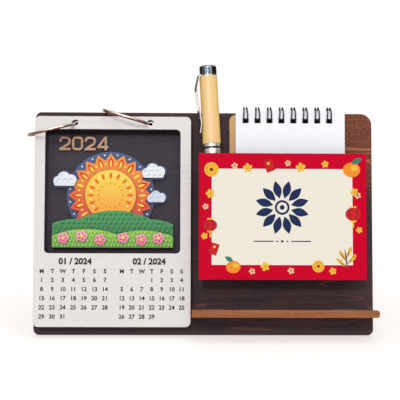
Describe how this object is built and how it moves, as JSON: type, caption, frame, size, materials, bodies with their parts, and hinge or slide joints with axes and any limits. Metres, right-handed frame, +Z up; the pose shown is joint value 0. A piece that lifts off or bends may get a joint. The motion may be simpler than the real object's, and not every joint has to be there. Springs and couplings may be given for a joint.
{
  "type": "desk calendar",
  "caption": "Leaning desk calendar: window plates on two split rings, a red-fronted pocket with a capped pen and a wire-bound notepad, a front ledge and rear feet.",
  "frame": {"origin": "on the table, at the middle of the box round the object", "axes": "+X to the right along the board, +Y to the back, +Z up"},
  "size_m": [0.2456, 0.0816, 0.19],
  "materials": {
    "board_wood": "dark stain, matt",
    "ledge_wood": "mid-brown stain, matt",
    "plate_wood": "off-white print on light plywood",
    "numeral_wood": "light stain",
    "picture_navy": "matt print",
    "picture_orange": "matt print",
    "picture_yellow": "matt print",
    "picture_green": "matt print",
    "picture_light_green": "matt print",
    "picture_white": "matt print",
    "picture_pink": "matt print",
    "ring_metal": "polished, bronze tone",
    "pocket_red": "satin print, cream field",
    "paper": "white",
    "card": "tan, uncoated",
    "wire_black": "black nylon coat",
    "bamboo": "satin bamboo",
    "chrome": "polished",
    "dark_chrome": "polished, dark",
    "steel": "brushed",
    "black_plastic": "glossy",
    "refill": "translucent tube"
  },
  "bodies": {
    "board": {"backboard": "board_wood", "ledge": "ledge_wood", "foot_left": "board_wood", "foot_right": "board_wood", "pocket_front": "pocket_red", "pocket_left_wall": "board_wood", "pocket_right_wall": "board_wood", "pocket_floor": "board_wood", "year_numerals": "numeral_wood", "picture_backing": "picture_navy", "picture_rays": "picture_orange", "picture_sun": "picture_yellow", "picture_hills": "picture_green", "picture_clouds": "picture_white", "picture_meadow": "picture_light_green", "picture_flowers": "picture_pink", "picture_flower_hearts": "picture_yellow"},
    "plate_back": {"plate_back": "plate_wood"},
    "plate_middle": {"plate_middle": "plate_wood"},
    "plate_front": {"plate_front": "plate_wood"},
    "ring_left": {"ring_left_half": "ring_metal", "ring_left_pin": "ring_metal"},
    "gate_left": {"ring_left_gate": "ring_metal"},
    "ring_right": {"ring_right_half": "ring_metal", "ring_right_pin": "ring_metal"},
    "gate_right": {"ring_right_gate": "ring_metal"},
    "notepad": {"notepad_pages": "paper", "notepad_cover": "card", "notepad_wire": "wire_black"},
    "pen": {"pen_tail": "black_plastic", "pen_barrel": "bamboo", "pen_collar": "chrome", "pen_collar_ring": "black_plastic", "pen_grip": "black_plastic", "pen_refill": "refill"},
    "cap": {"cap_tube": "bamboo", "cap_liner": "black_plastic", "cap_finial": "dark_chrome", "cap_clip": "steel"}
  },
  "joints": [
    {"name": "plate_back_tilt", "type": "hinge", "parent": "board", "child": "plate_back", "pos_m": [-0.06173, 0.01385, 0.15201], "axis": [-1, 0, 0], "range_deg": [0, 2.5]},
    {"name": "plate_middle_tilt", "type": "hinge", "parent": "plate_back", "child": "plate_middle", "pos_m": [-0.06173, 0.01082, 0.15266], "axis": [-1, 0, 0], "range_deg": [0, 2.5]},
    {"name": "plate_front_tilt", "type": "hinge", "parent": "plate_middle", "child": "plate_front", "pos_m": [-0.06173, 0.00779, 0.1533], "axis": [-1, 0, 0], "range_deg": [0, 2.5]},
    {"name": "ring_left_swing", "type": "hinge", "parent": "board", "child": "ring_left", "pos_m": [-0.08824, 0.01593, 0.14687], "axis": [0, 0.9781, -0.2079], "range_deg": [-8, 149]},
    {"name": "gate_left_open", "type": "hinge", "parent": "ring_left", "child": "gate_left", "pos_m": [-0.10526, 0.02907, 0.14199], "axis": [0.2401, -0.081, -0.9674], "range_deg": [0, 35]},
    {"name": "ring_right_swing", "type": "hinge", "parent": "board", "child": "ring_right", "pos_m": [-0.03548, 0.01593, 0.14687], "axis": [0, 0.9781, -0.2079], "range_deg": [0, 110]},
    {"name": "gate_right_open", "type": "hinge", "parent": "ring_right", "child": "gate_right", "pos_m": [-0.05118, 0.03092, 0.15069], "axis": [-0.2811, -0.0787, -0.9564], "range_deg": [0, 35]},
    {"name": "notepad_lift", "type": "slide", "parent": "board", "child": "notepad", "axis": [0, 0.2079, 0.9781], "range_m": [0, 0.085]},
    {"name": "pen_lift", "type": "slide", "parent": "board", "child": "pen", "axis": [-0.0558, 0.2076, 0.9766], "range_m": [0, 0.088]},
    {"name": "cap_pull", "type": "slide", "parent": "pen", "child": "cap", "axis": [-0.0558, 0.2076, 0.9766], "range_m": [0, 0.036]}
  ]
}
